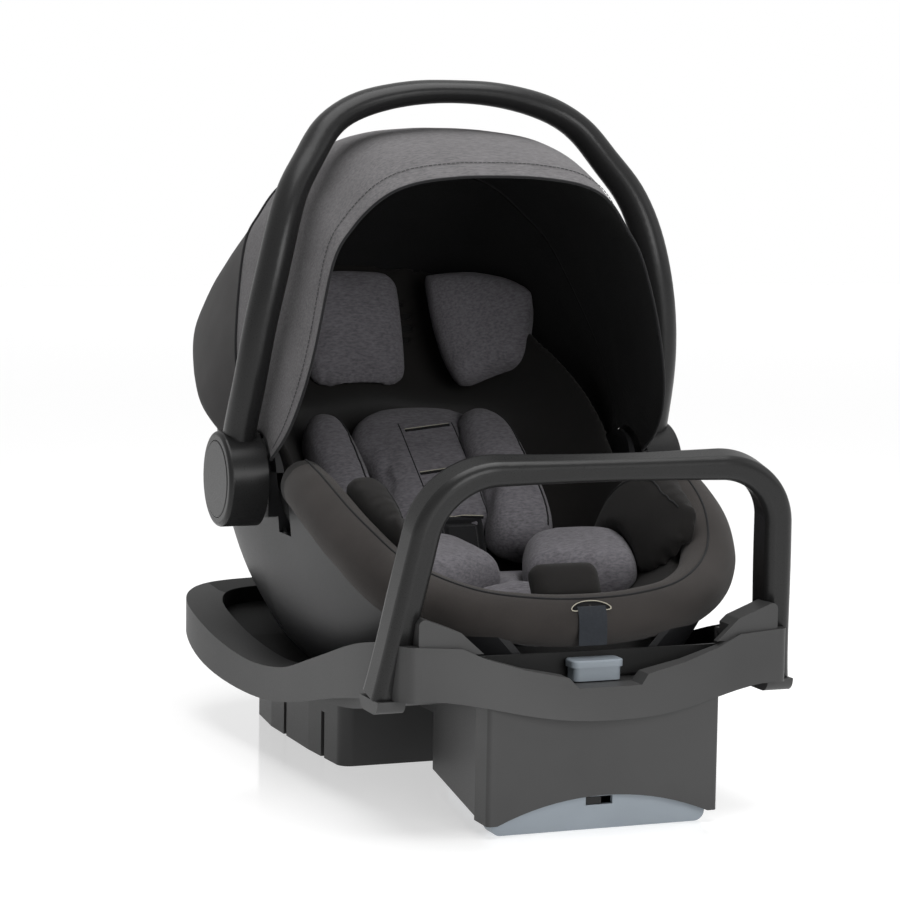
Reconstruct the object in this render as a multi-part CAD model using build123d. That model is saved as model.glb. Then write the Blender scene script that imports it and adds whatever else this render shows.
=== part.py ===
from build123d import *
import math
import os

os.makedirs("parts", exist_ok=True)

# Driving sizes, in mm: +X right, +Y toward the head end, +Z up, floor at Z = 0
HUB_X = 222.0          # outer face of the handle hubs
HUB_Y = 50.5           # handle and canopy pivot axis
HUB_Z = 254.0
HUB_R = 43.0           # hub drum radius
HUB_T = 36.0           # hub drum thickness
RIM_FRONT_W = 168.0    # half width of the base rim at the front corners
RIM_FRONT_Y = -302.0
RIM_BULGE = 2.0        # forward bulge of the rim's front edge
FASCIA_BULGE = 27.0    # forward bulge at the foot of the front fascia
RIM_MAX_W = 197.0      # widest half width, beside the head end
RIM_BACK_Y = 322.0
BAND_W = 35.0          # flat band on top of the rim
WALL = 3.5             # moulded wall
BODY_W = 128.0         # rear body of the base
BOX_W = 103.0          # front box of the base
BOX_Y = -310.0
BOX_Z = 10.5
FOOT_Z = 0.0
BAR_Z0 = 112.0         # lower end of the rebound bar
BAR_RISE = 192.0       # along the bar's own plane
BAR_TILT = 14.2        # degrees, toward the foot end
BAR_T = 25.0
BAR_D = 36.0
HANDLE_TOP = 613.0
SHELL_T = 4.0
LINER_T = 9.0
COVER_T = 8.0
CLEAR = 0.4            # between pieces that move past each other
FIT = 0.05             # radial running fit of the pivots

parts = {}


def spline_yz(pts):
    return Spline(*[Vector(0, y, z) for y, z in pts])


def band_yz(upper, lower, half):
    # Solid between two side-view curves, spread over X = -half..half
    a = spline_yz(upper)
    b = spline_yz(lower)
    edges = [a, Line(a @ 1, b @ 1), b, Line(b @ 0, a @ 0)]
    return extrude(make_face(edges), amount=half, dir=(1, 0, 0), both=True)


def poly_prism(pts, z0, z1):
    face = make_face(Polyline(*[Vector(x, y, z0) for x, y in pts], close=True))
    return extrude(face, amount=z1 - z0, dir=(0, 0, 1))


def box(x0, x1, y0, y1, z0, z1):
    return Pos((x0 + x1) / 2, (y0 + y1) / 2, (z0 + z1) / 2) * Box(x1 - x0, y1 - y0, z1 - z0)


def rod_x(x0, x1, y, z, r):
    return Pos((x0 + x1) / 2, y, z) * Rot(0, 90, 0) * Cylinder(r, abs(x1 - x0))


def shift(pts, dz):
    return [(y, z + dz) for y, z in pts]


def mirrored(shape):
    return mirror(shape, about=Plane.YZ)


def cut(shape, *tools):
    for t in tools:
        shape = shape - t
    return shape


# Base rim: plan outline, with an inset for its inner walls
RIM_SIDE = [
    (RIM_FRONT_W + 4, RIM_FRONT_Y + 14),
    (178, -240),
    (182, -150),
    (185, -40),
    (190, 80),
    (RIM_MAX_W, 190),
    (RIM_MAX_W - 8, 255),
    (RIM_MAX_W - 38, RIM_BACK_Y - 24),
    (RIM_MAX_W - 102, RIM_BACK_Y - 5),
]


def rim_plan(inset):
    right = [(x, y) for x, y in RIM_SIDE] + [(0.0, RIM_BACK_Y)]
    pts = right + [(-x, y) for x, y in reversed(RIM_SIDE)]
    out = []
    for i, (x, y) in enumerate(pts):
        xa, ya = pts[max(i - 1, 0)]
        xb, yb = pts[min(i + 1, len(pts) - 1)]
        n = math.hypot(xb - xa, yb - ya)
        out.append((x - inset * (yb - ya) / n, y + inset * (xb - xa) / n))
    y_front = RIM_FRONT_Y + inset
    w = RIM_FRONT_W - inset
    out[0] = (out[0][0], y_front + 14)
    out[-1] = (-out[0][0], y_front + 14)
    side = Spline(*[Vector(x, y, 0) for x, y in out])
    front = ThreePointArc((-w, y_front, 0), (0, y_front - RIM_BULGE, 0), (w, y_front, 0))
    return make_face([side, Line(side @ 1, front @ 0), front, Line(front @ 1, side @ 0)])


def rim_prism(inset, z0, z1):
    return Pos(0, 0, z0) * extrude(rim_plan(inset), amount=z1 - z0, dir=(0, 0, 1))


RIM_TOP = [(-345, 158), (-301, 158), (-240, 153), (-183, 140), (-137, 126), (-90, 112), (-42, 98),
           (8, 90), (50, 87), (97, 89), (155, 97), (214, 109), (270, 117), (345, 122)]
RIM_LOW = [(-345, 112), (-301, 113), (-225, 104), (-140, 88), (-87, 76), (-15, 62), (74, 56),
           (143, 60), (195, 69), (238, 81), (290, 92), (345, 99)]
ROCKER = [(-305, 150), (-250, 113), (-190, 93), (-120, 78), (-40, 70), (40, 68), (120, 73),
          (190, 86), (250, 112), (300, 146), (345, 186), (400, 250)]
DECK_GAP = 0.5
DECK = [(-345, 172)] + [(y, z - DECK_GAP) for y, z in ROCKER if y < 200] + [(250, 98), (345, 104)]
DECK_LOW = shift(DECK, -WALL)

# Base body: rear housing, front box and the bridge between them, open from below
REAR_Y0 = -20.0
REAR_Y1 = 262.0
BRIDGE_Z = 58.0
SLOTS = [(128, 35), (25, 42)]


def rear_plan(inset):
    w = BODY_W - inset
    side = [(w - 3, REAR_Y0 + inset), (w + 1, 60), (w + 1, 170), (w - 6, 232 - inset / 2), (w - 40, REAR_Y1 - inset)]
    return side + [(-x, y) for x, y in reversed(side)]


def box_plan(inset):
    w = BOX_W - inset
    side = [(w, BOX_Y + inset), (w, BOX_Y + 29), (w - 4, BOX_Y + 32), (66 - inset, -92 - inset)]
    return side + [(-x, y) for x, y in reversed(side)]


BODY_GAP = 0.4
body_top = shift(DECK_LOW, -BODY_GAP)
FRONT_ROOF = 119.5

# Rebound bar: path in a plane that leans toward the foot end
bar_tilt = math.radians(BAR_TILT)
bar_plane = Plane(origin=(0, -258, BAR_Z0), x_dir=(1, 0, 0),
                  z_dir=(0, -math.cos(bar_tilt), -math.sin(bar_tilt)))
BAR_FOOT_X = 175.5
BAR_TOP_X = 150.0
bar_path = bar_plane * FilletPolyline((-BAR_FOOT_X, 0), (-BAR_TOP_X, BAR_RISE), (BAR_TOP_X, BAR_RISE),
                                      (BAR_FOOT_X, 0), radius=58)
bar_start = Plane(bar_path @ 0, x_dir=bar_plane.z_dir, z_dir=bar_path % 0)


BAR_TAPER = [(0, 1.0), (0.2, 0.97), (0.35, 0.84), (0.5, 0.74), (0.65, 0.84), (0.8, 0.97), (1, 1.0)]


def bar_solid(grow):
    # the bar's rounded section, slimmer along the top
    sections = []
    for t, k in BAR_TAPER:
        plane = Plane(bar_path @ t, x_dir=bar_plane.z_dir, z_dir=bar_path % t)
        sections.append(plane * RectangleRounded(BAR_D * k + 2 * grow, BAR_T * k + 2 * grow, 9 * k + grow))
    return sweep(sections=sections, path=bar_path, multisection=True)


def bar_sweep(section):
    return sweep(bar_start * section, path=bar_path)


# Front fascia: half profile of its top edge and of its lower edge, (x, z)
FASCIA_TOP = [(160, 158), (124, 155.5), (104, 146.5), (71, 136.5), (44, 131), (35, 129), (28, 121)]
FASCIA_LOW = [(160, 114), (110, 109), (70, 101), (40, 97), (0, 95.5)]


def fascia_face(z, bulge):
    w = FASCIA_TOP[0][0]
    arc = ThreePointArc((-w, RIM_FRONT_Y, z), (0, RIM_FRONT_Y - bulge, z), (w, RIM_FRONT_Y, z))
    return make_face([arc, Polyline((w, RIM_FRONT_Y, z), (w, RIM_FRONT_Y + 6, z), (-w, RIM_FRONT_Y + 6, z),
                                    (-w, RIM_FRONT_Y, z))])


def fascia():
    block = loft([fascia_face(160, RIM_BULGE), fascia_face(92, FASCIA_BULGE)])
    top = [(-x, z) for x, z in FASCIA_TOP] + [(x, z) for x, z in reversed(FASCIA_TOP)]
    low = [(-x, z) for x, z in FASCIA_LOW[:-1]] + [(x, z) for x, z in reversed(FASCIA_LOW)]
    edges = [Polyline(*[Vector(x, 0, z) for x, z in top]), Spline(*[Vector(x, 0, z) for x, z in low])]
    edges.append(Line((-160, 0, 158), (-160, 0, 114)))
    edges.append(Line((160, 0, 158), (160, 0, 114)))
    profile = extrude(make_face(edges), amount=400, dir=(0, 1, 0), both=True)
    return block & profile


def above_fascia():
    # what is cut away over the fascia's top edge
    top = [(-x, z) for x, z in FASCIA_TOP] + [(x, z) for x, z in reversed(FASCIA_TOP)]
    ring = [(-160, 220)] + top + [(160, 220)]
    return extrude(make_face(Polyline(*[Vector(x, 0, z) for x, z in ring], close=True)), amount=48, dir=(0, -1, 0))


def rim():
    outer = rim_prism(0, 40, 200) & band_yz(RIM_TOP, RIM_LOW, 260)
    corners = outer.edges().filter_by(Axis.Z).sort_by(Axis.Y)[0:4]
    outer = fillet(corners, 9)
    hollow = rim_prism(WALL, 0, 200) & band_yz(shift(RIM_TOP, -WALL), shift(RIM_LOW, -60), 260)
    well = rim_prism(BAND_W, 0, 300)
    skirt = outer - hollow - well
    collar = rim_prism(BAND_W - WALL, 0, 300)
    wall = (collar - well) & band_yz(RIM_TOP, DECK_LOW, 260)
    deck = collar & band_yz(DECK, DECK_LOW, 260)
    deck = deck - band_yz([(y, 700) for y, z in ROCKER], shift(ROCKER, -DECK_GAP), 260)
    body = skirt + wall + deck
    # sloped front edge, lowest round the release button
    body = body + fascia()
    body = body - Pos(0, RIM_FRONT_Y + 9, 0) * above_fascia()
    # room for the front box, which ends behind the fascia
    front_box = poly_prism(box_plan(-CLEAR), 40, FRONT_ROOF + CLEAR)
    body = body - (front_box & box(-BOX_W - 9, BOX_W + 9, BOX_Y - 9, RIM_FRONT_Y + 12, 40, 130))
    # raised shoulder beside each leg of the rebound bar
    ridge = make_face(Polyline((104, -300, 150), (160, -300, 150), (160, -300, 182), (124, -300, 168), close=True))
    shoulder = extrude(ridge, amount=24, dir=(0, 1, 0))
    shoulder = fillet(shoulder.edges().filter_by(Axis.Y).sort_by(Axis.Z)[-2:], 5)
    body = body + shoulder + mirrored(shoulder)
    body = body - box(-118, 118, -294, -255, 142.5, 200)
    for x in (-HOOK_X, HOOK_X):
        body = body - box(x - 7, x + 7, SHAFT_Y - 27, SHAFT_Y + 13, 40, 130)
    # lug under each leg of the bar
    lug = box(163, 187, -280, -238, 100, BAR_Z0 - 1)
    lug = fillet(lug.edges().filter_by(Axis.X).sort_by(Axis.Z)[0:2], 10)
    body = body + lug + mirrored(lug)
    return body - bar_solid(FIT)


BTN_Y = -284.2
BTN_Z = 121.6
BTN_TRAVEL = 8.0
SHAFT_Y = -170.0
SHAFT_Z = 64.0
SHAFT_R = 5.0
SHAFT_L = 75.5
HOOK_X = 60.0
parts["base_rim"] = rim()
split_at = BAR_D / 2 - 9
front_side = bar_sweep(Pos(split_at + 30, 0) * Rectangle(60, 100))
BAR_WALL = 3.0
bar_skin = bar_solid(0) - bar_solid(-BAR_WALL)
parts["bar_front_cover"] = bar_skin & front_side
parts["bar_rear_cover"] = bar_skin - front_side
BAR_TUBE_R = 6.0
parts["bar_tube"] = bar_sweep(Circle(BAR_TUBE_R) - Circle(BAR_TUBE_R - 1.5))
plug = Rectangle(BAR_D, BAR_T) - Circle(BAR_TUBE_R + FIT)
socket = extrude(bar_start * plug, amount=46, dir=bar_path % 0) & bar_solid(-BAR_WALL - FIT)
parts["bar_socket_left"] = socket
parts["bar_socket_right"] = mirrored(socket)

ARCH_W = BOX_W - 9
ARCH_Z = 30.0


def base_body():
    floor = [(y, -60) for y, z in body_top]
    roof = band_yz(body_top, floor, 260) & box(-260, 260, -400, 400, -60, FRONT_ROOF)
    roof_in = band_yz(shift(body_top, -WALL), floor, 260) & box(-260, 260, -400, 400, -60, FRONT_ROOF - WALL)
    rear = poly_prism(rear_plan(0), 0, 200) & roof
    rear = fillet(rear.edges().filter_by(Axis.Z), 12)
    rear = rear - (poly_prism(rear_plan(WALL), -1, 200) & roof_in)
    front = poly_prism(box_plan(0), BOX_Z, 200) & roof
    front = fillet(front.edges().filter_by(Axis.Z), 4)
    front = front - (poly_prism(box_plan(WALL), -1, 200) & roof_in)
    bridge = box(-62, 62, -94, REAR_Y0 + 2, BRIDGE_Z, 200) & roof
    body = rear + front + bridge
    for y, h in SLOTS:
        body = body - box(-200, 200, y - 4, y + 4, -1, h)
    curve = ThreePointArc((-ARCH_W, 0, BOX_Z), (0, 0, ARCH_Z), (ARCH_W, 0, BOX_Z))
    arch = make_face([curve, Line(curve @ 1, curve @ 0)])
    body = body - Pos(0, BOX_Y - 5, 0) * extrude(arch, amount=12, dir=(0, 1, 0))
    body = body - box(-13, 13, BTN_Y, BTN_Y + 12, 100, 140)
    body = body - rod_x(-SHAFT_L - 0.4, SHAFT_L + 0.4, SHAFT_Y, SHAFT_Z, SHAFT_R + FIT)
    for x in (-HOOK_X, HOOK_X):
        body = body - box(x - 7, x + 7, SHAFT_Y - 27, SHAFT_Y + 13, 50, 130)
    return body


parts["base_body"] = base_body()
PLATE_T = 3.0
plate = poly_prism(rear_plan(WALL + 0.1), 0, PLATE_T)
for x in (-70, 0, 70):
    plate = plate + box(x - 1.5, x + 1.5, REAR_Y0 + 12, 225, PLATE_T, 16)
parts["base_plate"] = plate

# Release button in the front dip, its stem and the latch shaft with two hooks
button = Pos(0, BTN_Y, BTN_Z + 6) * extrude(RectangleRounded(42, 19, 5), amount=6, both=True)
lip = Pos(0, BTN_Y, BTN_Z + 14) * extrude(RectangleRounded(46, 21, 6), amount=3, both=True)
lip = fillet(lip.edges().sort_by(Axis.Z)[-1:], 1.5)
stem = box(-11, 11, BTN_Y + 2, BTN_Y + 10, 92, BTN_Z + 1)
parts["release_button"] = button + lip + stem
shaft = rod_x(-SHAFT_L, SHAFT_L, SHAFT_Y, SHAFT_Z, SHAFT_R)
for x in (-HOOK_X, HOOK_X):
    arm = make_face(Polyline((x, SHAFT_Y - 8, SHAFT_Z - 6), (x, SHAFT_Y + 8, SHAFT_Z - 6), (x, SHAFT_Y + 6, 88),
                             (x, SHAFT_Y + 12, 94), (x, SHAFT_Y + 10, 100), (x, SHAFT_Y - 3, 101),
                             (x, SHAFT_Y - 7, 90), close=True))
    shaft = shaft + extrude(arm, amount=3, dir=(1, 0, 0), both=True)
parts["latch_shaft"] = shaft

# Recline foot with its latch tab
FOOT_W = BOX_W - 7
FOOT_Y0 = BOX_Y + 10
FOOT_Y1 = -112.0
nose = box(-FOOT_W, FOOT_W, FOOT_Y0, -284, 0, 52)
nose = fillet(nose.edges().filter_by(Axis.Y).sort_by(Axis.Z)[0:2], 9)
heel = poly_prism([(-FOOT_W + 9, -286), (FOOT_W - 9, -286), (58, FOOT_Y1), (-58, FOOT_Y1)], 0, 40)
foot = nose + heel
foot = foot - (box(-FOOT_W + 4, FOOT_W - 4, FOOT_Y0 + 4, -288, 4, 80) +
               poly_prism([(-FOOT_W + 14, -293), (FOOT_W - 14, -293), (53, FOOT_Y1 - 5), (-53, FOOT_Y1 - 5)], 4, 80))
foot = foot - box(-12, 12, FOOT_Y0 - 2, FOOT_Y0 + 6, 20, 27)
parts["recline_foot"] = foot
parts["foot_latch"] = box(-11.6, 2, FOOT_Y0 + 0.8, FOOT_Y0 + 7.5, 20.6, 26.4)

# Carrier tub: stations along Y with rim height, half width at the bottom and at the rim
STATIONS = [(-266, 158, 66, 96), (-244, 166, 92, 128), (-196, 184, 108, 151), (-110, 212, 120, 166),
            (0, 238, 126, 171), (60, 255, 127, 172), (140, 285, 125, 172), (230, 330, 118, 168),
            (300, 372, 107, 150), (336, 393, 92, 122), (360, 405, 66, 80)]
SEAT = [(-300, 172), (-262, 172), (-200, 168), (-110, 160), (-30, 158), (4, 164), (24, 190), (60, 226), (108, 262),
        (153, 289), (200, 298), (250, 301), (292, 306), (318, 345), (350, 408)]
RIMLINE = [(y, z) for y, z, wb, wr in STATIONS]
OPEN_TOP = 60.0
FLARE = 10.0
LAYERS = COVER_T + LINER_T + SHELL_T
PLY = 0.25             # gap between one layer and the next


def interp(table, y):
    for (ya, za), (yb, zb) in zip(table, table[1:]):
        if y <= yb:
            t = (y - ya) / (yb - ya)
            return za + t * (zb - za)
    return table[-1][1]


def u_face(y, zb, zt, wb, wr):
    # one cross-section: a rounded trough, closed by a straight line on top
    h = zt - zb
    r = min(26.0, 0.35 * h)
    side = [(wr, zt), (wb + 0.72 * (wr - wb), zb + 0.58 * h), (wb + 0.1 * (wr - wb), zb + r), (wb - r, zb)]
    pts = [(-x, z) for x, z in side] + [(0.0, zb)] + [(x, z) for x, z in reversed(side)]
    u = Spline(*[Vector(x, y, z) for x, z in pts])
    return make_face([u, Line(u @ 1, u @ 0)])


def trough_outer(inset, drop):
    faces = []
    for y, zr, wb, wr in STATIONS:
        zb = interp(ROCKER, y) - drop
        faces.append(u_face(y, zb, zr + OPEN_TOP, wb - inset, wr + FLARE - inset))
    return loft(faces)


def trough_in(depth):
    # inner trough, depth below the face that the child sits on
    faces = []
    for y, zr, wb, wr in STATIONS:
        y2 = min(y, 350 - 1 + depth * 0.4)
        y2 = max(y2, -258 - depth * 0.3)
        low = interp(ROCKER, y2)
        zb = interp(SEAT, y2)
        t = max(0.0, (zb + 12 - low) / (zr + OPEN_TOP - low))
        wall = wb + (wr + FLARE - wb) * min(1.0, t * 1.25)
        wt = wr + FLARE - LAYERS - 2 + depth
        faces.append(u_face(y2, zb - depth, zr + OPEN_TOP, min(wall - LAYERS - 12, wt - 14) + depth, wt))
    return loft(faces)


def below(line, dz):
    # everything below a side-view line, raised by dz
    top = [(-400, line[0][1] + dz)] + shift(line, dz)[1:-1] + [(420, line[-1][1] + 22 + dz)]
    return band_yz(top, [(-400, -60), (420, -60)], 260)


rocker_keep = band_yz([(y, 700) for y, z in ROCKER], ROCKER, 260)
t_shell = trough_in(COVER_T + LINER_T)
t_liner = trough_in(COVER_T)
t_cover = trough_in(0)
# hollow between the outer wall and the seat pan, open from below through a hatch
cellar = (trough_outer(SHELL_T, 2 - SHELL_T) - trough_in(LAYERS)) & below(RIMLINE, -SHELL_T)
cellar = cellar + box(-78, 78, -195, 190, 40, 112)
EAR_R = 36.0
BUTTON_R = 34.5
BUTTON_T = 9.0
BUTTON_TRAVEL = 4.0
EAR_X0 = 165.0
EAR_X1 = 176.6
BOSS_X = HUB_X - HUB_T - CLEAR
BOSS_R = 20.0
PIN_R = 8.0
LATCH_Y = -148.0
LATCH_Z = 98.0
LATCH_R = 4.0
latch_rod = rod_x(-112, 112, LATCH_Y, LATCH_Z, LATCH_R)
STEP_Y = 97.0
STEP_IN = 2.0
shell = (trough_outer(0, 2) & below(RIMLINE, 0) & rocker_keep) - t_shell - cellar - latch_rod
ear = rod_x(EAR_X0, EAR_X1, HUB_Y, HUB_Z, EAR_R) + rod_x(EAR_X1 - 1, BOSS_X, HUB_Y, HUB_Z, BOSS_R)
pin = rod_x(EAR_X0 + 4, HUB_X - BUTTON_T - 0.5, HUB_Y, HUB_Z, PIN_R)
ear = ear - t_shell
shell = shell + ear + mirrored(ear) - pin - mirrored(pin)
# set-back rear side panels, and the belt notch ahead of each hub
step = (trough_outer(-1, 2) - trough_outer(STEP_IN, 2)) & box(-200, 200, STEP_Y, 330, 108, HUB_Z - 48)
notch = box(140, 200, 4, 38, 206, 262) - t_shell
shell = shell - step - notch - mirrored(notch)
parts["carrier_shell"] = shell
parts["latch_bar"] = latch_rod
parts["pivot_pin_right"] = pin
parts["pivot_pin_left"] = mirrored(pin)
parts["foam_liner"] = (trough_in(COVER_T + LINER_T - PLY) - t_liner) & below(RIMLINE, -4)
COVER_RISE = [(-288, 8), (-20, 8), (30, 20), (80, 48), (140, 50), (230, 40), (420, 34)]
cover_line = [(y, z + interp(COVER_RISE, y)) for y, z in RIMLINE]
cover = (trough_in(COVER_T - PLY) - t_cover) & below(cover_line, 0)

# Handle: oval tube on a bowed arch, with a drum at each end that turns on the pivot pin
ARM = [(204, 50, 264), (203, 40, 300), (200, 22, 345), (196, 12, 385), (188, 6, 430), (177, 8, 475),
       (163, 18, 513), (141, 32, 546), (118, 42, 574), (84, 46, 591), (44, 46, 600), (0, 46, HANDLE_TOP - 10.5)]
ARM_DEPTH = 17.0
arch = [Vector(x, y, z) for x, y, z in ARM] + [Vector(-x, y, z) for x, y, z in reversed(ARM[:-1])]
arm_path = Spline(*arch)
arm_faces = []
ARM_STEPS = 28
for i in range(ARM_STEPS + 1):
    t = i / ARM_STEPS
    d = arm_path % t
    flat = Vector(0, 1, 0) - d * d.Y
    up = 1 - abs(2 * t - 1)
    half = 14.5 - 4.0 * max(0.0, (up - 0.45) / 0.55)
    arm_faces.append(Plane(arm_path @ t, x_dir=flat, z_dir=d) * Ellipse(ARM_DEPTH, half))
bar = loft(arm_faces)
drum = rod_x(HUB_X - HUB_T, HUB_X, HUB_Y, HUB_Z, HUB_R)
drum = fillet(drum.edges().sort_by(Axis.X)[-1:], 4)
well = rod_x(HUB_X - BUTTON_T, HUB_X + 5, HUB_Y, HUB_Z, BUTTON_R + CLEAR)
well = well + rod_x(HUB_X - HUB_T - 1, HUB_X, HUB_Y, HUB_Z, PIN_R + FIT)
bar = bar - box(-HUB_X, HUB_X, 0, 100, 200, 262)
parts["handle"] = bar + drum + mirrored(drum) - well - mirrored(well)
cap = rod_x(HUB_X - BUTTON_T + BUTTON_TRAVEL + 1, HUB_X + 0.5, HUB_Y, HUB_Z, BUTTON_R)
cap = fillet(cap.edges().sort_by(Axis.X)[-1:], 1.2)
parts["handle_button_right"] = cap
parts["handle_button_left"] = mirrored(cap)

# Canopy: two bows that turn on the pivot, and the fabric between them
HOOD = [(183.5, 40), (182, 75), (174, 130), (151, 216), (131, 250), (108, 277), (81, 291), (42, 297.5), (0, 299)]
HOOD_STEPS = [(113.6, 299, 0), (95, 313, 0), (77, 322, 3), (58, 330, 8), (45, 340, 17), (33, 352, 26), (25, 359, 28)]
HOOD_T = 2.5


def hood_pts(radius, bulge, inset):
    # half outline of a bow, drawn in by inset along its own normal
    line = []
    for w, rho in HOOD:
        f = math.sin(math.pi * (rho - 40) / 259) ** 0.7 if 40 < rho < 299 else 0.0
        line.append((w + bulge * f, 40 + (rho - 40) * (radius - 40) / 259))
    full = line + [(-line[-2][0], line[-2][1])]
    out = []
    for i, (w, rho) in enumerate(line):
        wa, ra = full[max(i - 1, 0)]
        wb, rb = full[i + 1]
        n = math.hypot(wb - wa, rb - ra)
        out.append((w - inset * (rb - ra) / n, rho + inset * (wb - wa) / n))
    return out


def hood_at(angle, x, rho):
    a = math.radians(angle)
    return Vector(x, HUB_Y + rho * math.cos(a), HUB_Z + rho * math.sin(a))


def hood_face(angle, radius, bulge, inset, low):
    half = hood_pts(radius, bulge, inset)
    half[0] = (half[0][0], low)
    pts = [(-w, r) for w, r in half[:-1]] + [(w, r) for w, r in reversed(half)]
    edge = Spline(*[hood_at(angle, w, r) for w, r in pts])
    return make_face([edge, Line(edge @ 1, edge @ 0)])


def hood_panel(steps, outer_inset=0.0, inner_inset=HOOD_T):
    outer = loft([hood_face(a, r, b, outer_inset, 40) for a, r, b in steps])
    inner = loft([hood_face(a, r, b, inner_inset, 36) for a, r, b in steps])
    return outer - inner


def hood_wire(angle, radius, bulge, ring_x, wire_r):
    half = hood_pts(radius, bulge, HOOD_T + BOW_R + 1.0)
    half = [(ring_x, BOSS_R + 4), (ring_x - 0.6, 43)] + half[1:]
    pts = [(-w, r) for w, r in half[:-1]] + [(w, r) for w, r in reversed(half)]
    path = Spline(*[hood_at(angle, w, r) for w, r in pts])
    return sweep(Plane(path @ 0, z_dir=path % 0) * Circle(wire_r), path=path)


def hood_bow(angle, radius, bulge, ring_x):
    ring = rod_x(ring_x - BOW_EYE / 2, ring_x + BOW_EYE / 2, HUB_Y, HUB_Z, BOSS_R + 6)
    hole = rod_x(-HUB_X, HUB_X, HUB_Y, HUB_Z, BOSS_R + FIT)
    return hood_wire(angle, radius, bulge, ring_x, BOW_R) + ring + mirrored(ring) - hole


BOW_R = 2.2            # bow wire
BOW_EYE = 3.2          # thickness of the eye round the boss
FRONT_BOW = (111.5, 300, 0, 179.2)
MID_BOW = (58, 330, 8, 183.4)
parts["canopy_front_bow"] = hood_bow(*FRONT_BOW)
parts["canopy_mid_bow"] = hood_bow(*MID_BOW)
parts["canopy_front"] = cut(hood_panel(HOOD_STEPS[0:4]), hood_wire(*FRONT_BOW, BOW_R + 0.1),
                            hood_wire(*MID_BOW, BOW_R + CLEAR))
rear_steps = [(57.7, 330, 8)] + HOOD_STEPS[4:]
parts["canopy_rear"] = hood_panel(rear_steps) - hood_wire(*MID_BOW, BOW_R + 0.1)
# the cover's rim ends inside the canopy
parts["seat_cover"] = cover - hood_panel(rear_steps, -30, HOOD_T + CLEAR)

# Padded pieces: crowned forms whose sides draw in
def pillow(center, up, normal, a, b, t, r):
    n = Vector(*normal).normalized()
    u = Vector(*up)
    u = (u - n * u.dot(n)).normalized()
    plane = Plane(origin=center, x_dir=u.cross(n), z_dir=n)
    faces = []
    for h, s in ((-0.25, 0.93), (0.15, 1.0), (0.6, 0.97), (0.88, 0.84), (1.0, 0.6)):
        faces.append(plane.offset(h * t) * RectangleRounded(2 * a * s, 2 * b * s, r * s))
    return loft(faces)


def form(center, up, normal, outline, t):
    # padded piece over a free outline, given in the plane's own coordinates
    n = Vector(*normal).normalized()
    u = Vector(*up)
    u = (u - n * u.dot(n)).normalized()
    plane = Plane(origin=center, x_dir=u.cross(n), z_dir=n)
    cx = sum(x for x, y in outline) / len(outline)
    cy = sum(y for x, y in outline) / len(outline)
    faces = []
    for h, k in ((-0.25, 0.93), (0.15, 1.0), (0.6, 0.96), (0.88, 0.83), (1.0, 0.58)):
        ring = [Vector(cx + k * (x - cx), cy + k * (y - cy)) for x, y in outline]
        faces.append(plane.offset(h * t) * make_face(Spline(*ring, periodic=True)))
    return loft(faces)


def flipped(outline):
    return [(-x, y) for x, y in reversed(outline)]


# the insert's face: one point on it, its slope and its normal
BACK = (0, 60, 250)
BACK_UP = (0, 0.798, 0.602)
BACK_N = (0, -0.602, 0.798)


def on_back(h):
    return (BACK[0], BACK[1] + h * BACK_N[1], BACK[2] + h * BACK_N[2])


ROLL_Y = -259.0
ROLL_Z = 166.0
ROLL_H = 22.0
roll_pts = [(164, -12, 258), (167, -50, 254), (168, -90, 246), (160, -150, 222), (137, -202, 193), (97, -239, 175),
            (50, -255, 168)]
roll_path = Spline(*([Vector(-x, y, z) for x, y, z in roll_pts] + [Vector(0, ROLL_Y, ROLL_Z)] +
                     [Vector(x, y, z) for x, y, z in reversed(roll_pts)]))
roll = sweep(Plane(roll_path @ 0, x_dir=(1, 0, 0), z_dir=roll_path % 0) * Ellipse(20, ROLL_H), path=roll_path)
solid_in = below(cover_line, 0.2) & trough_outer(0, 2)
parts["front_roll"] = roll - (solid_in - t_cover)
inside = trough_in(-PLY) & below(RIMLINE, 60)
parts["head_panel"] = pillow((0, 320, 366), (0, 0.33, 0.95), (0, -0.945, 0.327), 51, 60, 20, 20) & inside
WING = [(-58, 36), (-20, 46), (22, 44), (52, 22), (46, -12), (38, -34), (8, -46), (-26, -52), (-46, -16)]
wing = form((124, 268, 368), (0, 0.3, 0.95), (-0.5, -0.82, 0.28), WING, 30) & inside
INSERT = [(-58, -62), (0, -64), (58, -62), (68, -20), (73, 32), (69, 74), (44, 97), (0, 104), (-44, 97), (-69, 74),
          (-73, 32), (-68, -20)]
insert = form(on_back(-22), BACK_UP, BACK_N, INSERT, 22) & inside
parts["body_insert"] = insert
BOLSTER_R = [(36, -100), (72, -102), (86, -60), (85, 0), (82, 42), (74, 68), (56, 82), (37, 74), (27, 48), (23, 0),
             (24, -54)]
BOLSTER_L = [(84, -94), (112, -96), (126, -60), (127, 0), (124, 44), (116, 70), (100, 82), (87, 72), (80, 44), (77, 0),
             (78, -54)]
bolster_r = form(on_back(-12), BACK_UP, BACK_N, BOLSTER_R, 36) & inside
bolster_l = form(on_back(-12), BACK_UP, BACK_N, flipped(BOLSTER_L), 34) & inside
HIP = [(-46, -36), (0, -42), (44, -36), (50, 0), (40, 34), (0, 44), (-40, 36), (-50, 0)]
hip = form((70, -94, 174), (0.3, 1, 0), (-0.12, -0.2, 0.95), HIP, 38) & inside
SIDE = [(-85, -40), (-80, 5), (-55, 38), (-10, 52), (40, 47), (68, 20), (74, -20), (60, -48), (0, -55), (-60, -52)]
side = form((140, -128, 222), (0, 0, 1), (-0.93, -0.2, 0.25), SIDE, 26) & inside
bolster_r = bolster_r - insert
bolster_l = bolster_l - insert
hip_r = hip - bolster_r - insert
hip_l = mirrored(hip) - bolster_l - insert
parts["bolster_right"] = bolster_r
parts["bolster_left"] = bolster_l
parts["hip_right"] = hip_r
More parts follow.
